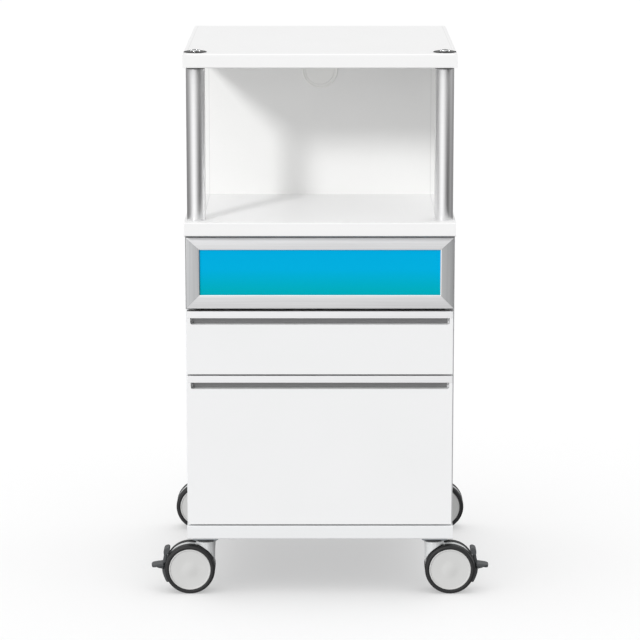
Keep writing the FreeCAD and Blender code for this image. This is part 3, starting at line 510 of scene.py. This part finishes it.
# Painted shade: the carcass boards take a tone darker than the top board, standing in for the shade
# on the low bottom board
carcass_melamine = melamine("white_melamine_carcass_painted_shade", tones=("#DFE0E1", "#E3E4E5"))
wear("bottom_board", carcass_melamine, edge=0.6)
wear("side_panels", carcass_melamine, edge=0.5)
wear("carcass_back_panel", carcass_melamine, edge=0.3)


# Runners and drawer boxes
# Three-member runners in roll-formed zinc-plated steel. The boxes are 12 mm white board, plainer
# than the fronts, on a thin base.

box_melamine = melamine("matt_white_box_board", tones=("#E2E3E3", "#E6E7E7"))
wear("cabinet_runner_rails", zinc, edge=0.25)
for number in (1, 2, 3):
    wear(f"runner_slides_{number}", zinc, edge=0.25)
    wear(f"drawer_{number}_rails", zinc, edge=0.25)
    wear(f"drawer_{number}_box", box_melamine, edge=0.6)


# Plain drawer fronts
# White laminated panels. An aluminium grip profile closes the top edge of each and folds down
# behind a finger recess milled right across the panel.

front_laminate = melamine("white_front_laminate", tones=("#E4E5E5", "#E8E8E9"))

# Satin anodised aluminium, brushed along the profile: fine streaks a few centimetres long,
# drawn 0.5 mm wide, coarser than the real ones, so that they show. Behind the lip the tone is
# painted much darker: painted shade for the shadowed recess under the lip.
STREAK = 0.5
STREAK_STRETCH = 90
LIP_DEPTH = 9
LIP_BACK_PAINTED_SHADE = 0.3

grip_metal, tree, shader = new_finish("satin_anodised_aluminium", metallic=1)
place, tinted = break_up(tree, shader, ("#EDEDEE", "#F3F3F4"), cloud=2,
                         roughness=(0.42, 0.58), grain=STREAK, depth=0.02,
                         stretch=(STREAK_STRETCH, 1, 1))
grip_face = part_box("drawer_2_grip")[0].y
# Painted shade: the tone is darkened behind the lip, where the recess under it lies in shadow
behind = add(tree, "ShaderNodeMapRange", {
    "Value": add(tree, "ShaderNodeSeparateXYZ", {"Vector": place}).outputs["Y"],
    "From Min": grip_face + LIP_DEPTH * MM, "From Max": grip_face + 1.4 * LIP_DEPTH * MM,
    "To Min": 1, "To Max": LIP_BACK_PAINTED_SHADE})
shaded_lip_back = add(tree, "ShaderNodeVectorMath", {0: tinted, 1: behind.outputs["Result"]},
           operation="MULTIPLY")
tree.links.new(shaded_lip_back.outputs[0], shader.inputs["Base Color"])
for number in (2, 3):
    wear(f"drawer_{number}_front", front_laminate, edge=0.4)
    wear(f"drawer_{number}_grip", grip_metal, edge=0.35)


# Glazed drawer front
# Four mitred bars of extruded aluminium, brushed along their length and anodised, with a narrow
# bevel outside and a bright-cut one inside. The pane in their rebate is back-painted glass.

# The top bar is narrower on its outer side, which leaves the dark gap over it in sight
BAR_WIDTHS = {"bottom": 26, "top": 23.8, "left": 26, "right": 26}
BAR_DEPTH = 19
OUTER_BEVEL = 1.4
INNER_BEVEL = 1.2
REBATE = 10
FACE_LIP = 3
MITRE_GAP = 0.08

# The same brushed aluminium in two tones: lighter on the bars across and darker on the upright
# bars, painted light and shade for how each catches the light
lit_and_shaded_bar_finishes = {}
for way, stretch, tones in (("across", (STREAK_STRETCH, 1, 1), ("#D1D1D2", "#EAEAEB")),
                            ("upright", (1, 1, STREAK_STRETCH), ("#A8A9AA", "#C8C9CA"))):
    lit_and_shaded_bar_finishes[way], tree, shader = new_finish(f"brushed_anodised_aluminium_{way}", metallic=1)
    break_up(tree, shader, tones, cloud=2, roughness=(0.42, 0.58), grain=STREAK, depth=0.02,
             stretch=stretch)

# Bright-cut aluminium: the diamond-milled inner bevel, smooth and lighter than the brushed face
bright_cut, tree, shader = new_finish("bright_cut_aluminium", metallic=1)
break_up(tree, shader, ("#F6F6F6", "#FAFAFA"), cloud=30, roughness=(0.3, 0.38),
         grain=0.4, depth=0.003)

# Painted shade: a dark tone laid on the outer flanks of the top and bottom bars, for the shade in
# the gaps over and under the front
flank_painted_shade, tree, shader = new_finish("aluminium_flank_painted_shade", metallic=1)
break_up(tree, shader, ("#5E5F61", "#6A6B6D"), cloud=8, roughness=(0.5, 0.62),
         grain=0.6, depth=0.01, stretch=(20, 1, 1))

frame_low, frame_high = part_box("drawer_1_frame")
frame_high.z -= (BAR_WIDTHS["left"] - BAR_WIDTHS["top"]) * MM
frame_middle = (frame_low + frame_high) / 2
bars = {
    "bottom": (Vector((frame_middle.x, frame_low.y, frame_low.z)), Vector((1, 0, 0)),
               Vector((0, 0, 1)), (frame_high.x - frame_low.x) / 2, "across"),
    "top": (Vector((frame_middle.x, frame_low.y, frame_high.z)), Vector((1, 0, 0)),
            Vector((0, 0, -1)), (frame_high.x - frame_low.x) / 2, "across"),
    "left": (Vector((frame_low.x, frame_low.y, frame_middle.z)), Vector((0, 0, 1)),
             Vector((1, 0, 0)), (frame_high.z - frame_low.z) / 2, "upright"),
    "right": (Vector((frame_high.x, frame_low.y, frame_middle.z)), Vector((0, 0, 1)),
              Vector((-1, 0, 0)), (frame_high.z - frame_low.z) / 2, "upright"),
}
joined_to = {"across": ("left", "right"), "upright": ("bottom", "top")}
for place, (start, run, inward, half, way) in bars.items():
    width = BAR_WIDTHS[place]
    bar_profile = eased([(0, BAR_DEPTH, 0.3), (0, OUTER_BEVEL, 0.4), (OUTER_BEVEL, 0, 0.4),
                         (width - INNER_BEVEL, 0, 0.2), (width, INNER_BEVEL / 2, 0.2),
                         (width, FACE_LIP, 0.2), (width - REBATE, FACE_LIP, 0.2),
                         (width - REBATE, BAR_DEPTH, 0.3)], steps=2)
    shape = bmesh.new()
    ends = []
    for sense, neighbour in zip((-1, 1), joined_to[way]):
        slope = BAR_WIDTHS[neighbour] / width
        ends.append([shape.verts.new(
            start + inward * inset * MM + Vector((0, depth * MM, 0))
            + run * sense * (half - (inset * slope + MITRE_GAP) * MM))
            for inset, depth in bar_profile])
        shape.faces.new(ends[-1])
    for index in range(len(bar_profile)):
        side = shape.faces.new([ends[0][index - 1], ends[0][index], ends[1][index],
                                ends[1][index - 1]])
        insets = [bar_profile[index - 1][0], bar_profile[index][0]]
        depths = [bar_profile[index - 1][1], bar_profile[index][1]]
        if min(insets) > width - 2 * INNER_BEVEL and max(depths) < INNER_BEVEL:
            side.material_index = 1
        # The outer flanks of the top and bottom bars carry the painted shade of the gaps over and
        # under the front
        if way == "across" and max(insets) == 0:
            side.material_index = 2
    piece(f"drawer_1_frame_bar_{place}", shape, [lit_and_shaded_bar_finishes[way], bright_cut, flank_painted_shade],
          "drawer_1", ["drawer_1_frame"])

# Back-painted float glass: a deep polished gloss over blue paint. Its colour is painted from
# sky blue at the top to teal at the bottom, a painted reflection.
glass, tree, shader = new_finish("back_painted_glass", roughness=0.5, specular_ior_level=0,
                                 coat_weight=0.12, coat_roughness=0.03, coat_ior=1.3)
pane_low, pane_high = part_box("drawer_1_glass")
height = add(tree, "ShaderNodeSeparateXYZ",
             {"Vector": add(tree, "ShaderNodeTexCoord").outputs["Object"]})
share = add(tree, "ShaderNodeMapRange",
            {"Value": height.outputs["Z"], "From Min": pane_low.z, "From Max": pane_high.z})
# Painted reflection: the colour ramps from teal at the bottom to sky blue at the top
reflection_ramp = add(tree, "ShaderNodeValToRGB", {"Fac": share.outputs["Result"]})
reflection_ramp.color_ramp.elements[0].color = linear("#00A1AA")
reflection_ramp.color_ramp.elements[1].color = linear("#00A9DE")
for position, colour in ((0.2, "#00A6BA"), (0.55, "#00A9D8")):
    reflection_ramp.color_ramp.elements.new(position).color = linear(colour)
tree.links.new(reflection_ramp.outputs["Color"], shader.inputs["Base Color"])
wear("drawer_1_glass", glass, edge=0.4)


# Shelf board and its side rails
# The floor of the bay: a banded board, full width under the posts, with a plain rail let in
# along each side behind them.

# Painted light: the shelf is a tone lighter than the other boards, for the light its top lacks
# under the top board; its greyer front edge band takes that back off the front face
shelf_melamine = melamine("white_melamine_shelf_painted_light", tones=("#F0F0F0", "#F3F3F3"),
                          seam=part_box("bay_back_panel")[1].x,
                          seam_start=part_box("shelf_side_rails")[0].y,
                          band_end=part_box("shelf_board")[0].y + BAND_DEPTH * MM)
wear("shelf_board", shelf_melamine, edge=0.8)
wear("shelf_side_rails", shelf_melamine, edge=0.8)


# Back of the equipment bay
# A board let in between two side frames, with a cable outlet near its top, and a sheet-steel
# cover that closes the space behind it. The outlet has a moulded ring and a pull-out cap.

OUTLET_RING_PROFILE = [(27.6, 1.5, 0.2), (27.6, -18, 0), (29.7, -18, 0), (29.7, 0, 0),
                       (34.4, 0, 0), (34.4, 2.4, 1), (32.2, 2.4, 1), (31.6, 1.5, 0.4)]
OUTLET_CAP_PROFILE = [(0, 1.3, 0), (26.8, 1.5, 0.2), (27.4, 1.3, 0.2), (27.4, -5.4, 0.3),
                      (25.4, -5.4, 0.3), (25.4, -0.9, 0), (0, -0.9, 0)]

# Painted light: the bay's boards are a tone lighter than the carcass, for the light the back of the
# bay lacks
bay_melamine = melamine("white_melamine_bay_painted_light", tones=("#EDEDEC", "#F0F0EF"),
                        seam=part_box("bay_back_panel")[1].x)
wear("bay_back_panel", bay_melamine, edge=0.3)
wear("bay_side_frames", bay_melamine, edge=0.3)

# White polypropylene: moulded, slightly waxy, a shade warmer than the boards and a shade lighter
# than the bay board; the lighter tone is a painted highlight for the light on the ring's rim
propylene, tree, shader = new_finish("moulded_white_polypropylene", ior=1.49)
break_up(tree, shader, ("#EFEFED", "#F2F2F0"), cloud=20, roughness=(0.34, 0.44),
         grain=0.6, depth=0.008)
outlet = middle("cable_grommet_cap")
outlet.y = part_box("bay_back_panel")[0].y


def put_outlet(across, up, along):
    return outlet + Vector((across, -along, up)) * MM


shape = bmesh.new()
turn(shape, eased(OUTLET_RING_PROFILE), put_outlet)
piece("cable_outlet_ring", shape, [propylene], "cabinet",
      ["cable_grommet_ring"])
shape = bmesh.new()
turn(shape, eased(OUTLET_CAP_PROFILE), put_outlet)
piece("cable_outlet_cap", shape, [propylene], "grommet_cap",
      ["cable_grommet_cap"])

# Powder coat: white polyester with the orange peel of a sprayed film
powder, tree, shader = new_finish("white_powder_coat", ior=1.5)
break_up(tree, shader, ("#E5E6E6", "#E9EAEA"), cloud=90, roughness=(0.4, 0.5),
         grain=1.6, depth=0.03)
wear("bay_rear_cover", powder, edge=0.8)

COVER_SCREW_INSET = 9
COVER_SCREW_SHARES = (0.06, 0.5, 0.94)
cover_low, cover_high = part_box("bay_rear_cover")
shape = bmesh.new()
for right in (-1, 1):
    for share in COVER_SCREW_SHARES:
        level = cover_low.z + (cover_high.z - cover_low.z) * share
        spot = Vector((right * (cover_high.x - COVER_SCREW_INSET * MM),
                       cover_high.y - SCREW_HEAD_HEIGHT * MM, level))
        screw_head(shape, lambda across, up, along, spot=spot:
                   spot + Vector((across, along, up)) * MM)
piece("rear_cover_screws", shape, [zinc], "cabinet")


# Front posts
# Two lengths of stainless tube, belt-ground round the tube to a satin finish. A tie bolt runs
# down through each and clamps the top board on it, over a black ring that is painted shade: it
# stands in for the shadow gap under the board.

TUBE_LENGTH = 280
SHADE_RING_TOP = 284
POST_PROFILE = [(17.5, 0, 0.4), (17.5, TUBE_LENGTH, 0.4), (16, TUBE_LENGTH, 0.3), (16, 0, 0.3)]
# The black ring over each tube is painted shade, a dark ring for the shadow gap under the board
SHADE_RING_PROFILE = [(17.7, TUBE_LENGTH, 0.3), (17.7, SHADE_RING_TOP, 0.3), (8, SHADE_RING_TOP, 0.2),
                  (8, TUBE_LENGTH, 0.2)]

# Ground stainless steel: hair-fine rings round the tube, drawn 0.4 mm apart, which is coarser
# than the real ones. They smear each reflection along the tube and leave it clear across it.
stainless, tree, shader = new_finish("ground_stainless_tube", metallic=1, anisotropic=0.95)
break_up(tree, shader, ("#EFEFF0", "#F6F6F6"), cloud=3, roughness=(0.3, 0.36),
         grain=0.4, depth=0.03, stretch=(40, 40, 1))
tree.links.new(add(tree, "ShaderNodeCombineXYZ", {"Z": 1}).outputs["Vector"],
               shader.inputs["Tangent"])

post_low, post_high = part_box("front_posts")
post_radius = (post_high.y - post_low.y) / 2
post_along = (post_low.y + post_high.y) / 2
for name, profile, finish, slot in (
        ("post_tubes", POST_PROFILE, stainless, "post_steel"),
        ("post_collars", SHADE_RING_PROFILE, acetal, "black_plastic")):
    shape = bmesh.new()
    for side in (-1, 1):
        foot = Vector((side * (post_high.x - post_radius), post_along, post_low.z))
        turn(shape, eased(profile, steps=2), lambda across, deep, along, foot=foot:
             foot + Vector((across, deep, along)) * MM)
    piece(name, shape, [finish], "cabinet", ["front_posts"])


# Top board, its edge strips and the bolt caps
# A banded board with a strip along each side. Over each post a black nylon cap lies in a shallow
# seat, under the polished socket head of the tie bolt.

SOCKET_HALF = 4
HEAD_RISE = 5
CAP_RISE = 2.5


def hexagon(angle):
    """Radius of a hexagon socket at an angle."""
    sixth = math.pi / 3
    return SOCKET_HALF / math.cos((angle + sixth / 2) % sixth - sixth / 2)


top_melamine = melamine("white_melamine_top", tones=("#E9E9E9", "#ECECEC"),
                        seam=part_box("top_board")[1].x,
                        seam_start=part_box("top_board")[0].y + BAND_DEPTH * MM)
wear("top_board", top_melamine, edge=0.9)
wear("top_edge_strips", top_melamine, edge=0.9)

# Glossy black nylon: moulded, with a clean edge and a soft shine
black_nylon, tree, shader = new_finish("glossy_black_nylon", specular_ior_level=0.25, ior=1.53)
break_up(tree, shader, ("#0B0B0C", "#111213"), cloud=12, roughness=(0.16, 0.26),
         grain=0.3, depth=0.004)

# Polished steel: nearly a mirror, with fine wipe marks
polished, tree, shader = new_finish("polished_steel", metallic=1)
break_up(tree, shader, ("#D2D3D4", "#DCDDDE"), cloud=12, roughness=(0.03, 0.07),
         grain=0.3, depth=0.002)

bolt_low, bolt_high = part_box("post_tie_bolts")
cap_level = bolt_high.z - HEAD_RISE * MM
rod_foot = (bolt_low.z - cap_level) / MM
BOLT_CAP_PROFILE = [(4.2, 0, 0), (21.2, 0, 0.2), (21.2, 1.6, 1.3), (17, CAP_RISE, 1.5),
                    (11, CAP_RISE, 0), (4.2, CAP_RISE, 0)]
BOLT_PROFILE = [(0, rod_foot, 0), (4, rod_foot, 0.5), (4, CAP_RISE, 0), (9.7, CAP_RISE, 0.2),
                (9.7, 4.2, 0.7), (8.2, HEAD_RISE, 0.6)]
socket = [(hexagon, HEAD_RISE), (hexagon, CAP_RISE), (0, CAP_RISE)]
for name, profile, finish, slot in (
        ("bolt_caps", eased(BOLT_CAP_PROFILE), black_nylon, "black_plastic"),
        ("tie_bolts", eased(BOLT_PROFILE) + socket, polished, "polished_steel")):
    shape = bmesh.new()
    for side in (-1, 1):
        seat = Vector((side * (post_high.x - post_radius), post_along, cap_level))
        turn(shape, profile, lambda across, deep, along, seat=seat:
             seat + Vector((across, deep, along)) * MM)
    piece(name, shape, [finish], "cabinet", ["post_tie_bolts"])


# The studio
# A wide pale floor washed from both sides. The cabinet has its own soft key light from the left,
# fills from both sides behind it, and a surround with a light card left of the camera and a dark
# one right of it. The camera stands over five metres away at eye height.

CAMERA_SPOT = Vector((0, -5.48, 1.583))
CAMERA_LENS = 161.9
CAMERA_PITCH = 11.37
FLOOR_REACH = 60
FLOOR_TONE = "#BEBEBE"
FLOOR_GLOW = 0.39

# Each way is the direction in which a lamp's light travels, and each spread is in degrees
WASH_SIDE = Vector((0.35, 0.05, -0.95))
WASH_SPREAD = 80
WASH_STRENGTH = 0.44
KEY_WAY = Vector((0.597, 1, -0.555))
KEY_SPREAD = 9
KEY_STRENGTH = 1.42
FILL_WAY = Vector((1, -0.35, -0.17))
FILL_SPREAD = 30
FILL_STRENGTHS = {"left": 0.4, "right": 1}

# The surround's level by bearing, in degrees right of the camera's side, and the band of heights
# in which it holds, from -1 straight down to 1 straight up
ZENITH = 1.23
FAR_SIDES = 0.38
SURROUND = ((-180, 0.24), (-110, 0.24), (-80, 0.38), (-56, 0.86), (-36, 1.22), (-17, 1.26),
            (4, 0.83), (24, 0.31), (45, 0.04), (62, 0.08), (86, 0.33), (110, 0.26), (180, 0.24))
BAND = ((-1, 0), (-0.9, 0), (-0.75, 1), (0.22, 1), (0.42, 0), (1, 0))

# Studio vinyl: matt, with a glow of its own that keeps the shade under the cabinet light
vinyl, tree, shader = new_finish("studio_vinyl", roughness=0.6, specular_ior_level=0,
                                 emission_strength=FLOOR_GLOW)
shader.inputs["Base Color"].default_value = linear(FLOOR_TONE)
shader.inputs["Emission Color"].default_value = linear("#FFFFFF")
shape = bmesh.new()
shape.faces.new([shape.verts.new((across * FLOOR_REACH, along * FLOOR_REACH, 0))
                 for across, along in ((-1, -1), (1, -1), (1, 1), (-1, 1))])
mesh = bpy.data.meshes.new("studio_floor")
shape.to_mesh(mesh)
shape.free()
mesh.materials.append(vinyl)
floor = bpy.data.objects.new("studio_floor", mesh)
floor.visible_diffuse = False
floor.visible_glossy = False
bpy.context.scene.collection.objects.link(floor)


def sun(name, way, spread, strength, only=(), never=()):
    """A soft sun. It may light only some things, or all but some."""
    lamp = bpy.data.lights.new(name, "SUN")
    lamp.energy = strength
    lamp.angle = math.radians(spread)
    holder = bpy.data.objects.new(name, lamp)
    holder.rotation_euler = way.to_track_quat("-Z", "Y").to_euler()
    bpy.context.scene.collection.objects.link(holder)
    reach = bpy.data.collections.new(f"{name}_reach")
    for state, things in (("INCLUDE", only), ("EXCLUDE", never)):
        for thing in things:
            reach.objects.link(thing)
            reach.collection_objects[-1].light_linking.link_state = state
    holder.light_linking.receiver_collection = reach


tubes = bpy.data.objects["post_tubes"]
sun("key_light", KEY_WAY, KEY_SPREAD, KEY_STRENGTH, never=(floor, tubes))
for name, side in (("left", 1), ("right", -1)):
    sun(f"fill_light_{name}", FILL_WAY * Vector((side, 1, 1)), FILL_SPREAD,
        FILL_STRENGTHS[name], never=(floor, tubes))
    sun(f"floor_wash_{name}", WASH_SIDE * Vector((side, 1, 1)), WASH_SPREAD, WASH_STRENGTH,
        only=(floor,))

world = bpy.data.worlds.new("studio")
bpy.context.scene.world = world
world.use_nodes = True
tree = world.node_tree
way = add(tree, "ShaderNodeSeparateXYZ",
          {"Vector": add(tree, "ShaderNodeTexCoord").outputs["Generated"]})
toward = add(tree, "ShaderNodeMath", {0: way.outputs["Y"], 1: -1}, operation="MULTIPLY")
turned = add(tree, "ShaderNodeMath", {0: way.outputs["X"], 1: toward.outputs[0]},
             operation="ARCTAN2")
bearing = add(tree, "ShaderNodeMapRange",
              {"Value": turned.outputs[0], "From Min": -math.pi, "From Max": math.pi})


def ramp(value, stops, low, high):
    """Grey levels at places between two ends, as a colour ramp that a value reads."""
    made = add(tree, "ShaderNodeValToRGB", {"Fac": value})
    elements = made.color_ramp.elements
    while len(elements) < len(stops):
        elements.new(0.5)
    for element, (place, level) in zip(elements, stops):
        element.position = (place - low) / (high - low)
        element.color = (level, level, level, 1)
    return made.outputs["Color"]


def blend(factor, below, above):
    """Two levels of light mixed by a factor; a level is a number or a socket."""
    made = add(tree, "ShaderNodeMix", {"Factor": factor}, data_type="FLOAT")
    for socket, value in ((made.inputs[2], below), (made.inputs[3], above)):
        if isinstance(value, bpy.types.NodeSocket):
            tree.links.new(value, socket)
        else:
            socket.default_value = value
    return made.outputs[0]


rise = add(tree, "ShaderNodeMapRange", {"Value": way.outputs["Z"], "From Min": -1})
cards = ramp(bearing.outputs["Result"], SURROUND, -180, 180)
band = ramp(rise.outputs["Result"], BAND, -1, 1)
around = blend(band, FAR_SIDES, cards)
upward = add(tree, "ShaderNodeMapRange", {"Value": way.outputs["Z"]})
backdrop = tree.nodes["Background"]
backdrop.inputs["Color"].default_value = linear("#FFFFFF")
tree.links.new(blend(upward.outputs["Result"], around, ZENITH), backdrop.inputs["Strength"])

camera = bpy.data.cameras.new("camera")
camera.lens = CAMERA_LENS
camera.sensor_width = 36
camera.clip_end = 200
viewer = bpy.data.objects.new("camera", camera)
viewer.location = CAMERA_SPOT
viewer.rotation_euler = (math.radians(90 - CAMERA_PITCH), 0, 0)
bpy.context.scene.collection.objects.link(viewer)
bpy.context.scene.camera = viewer
bpy.context.scene.view_settings.view_transform = "Standard"


# The scene brought up to date
bpy.context.view_layer.update()
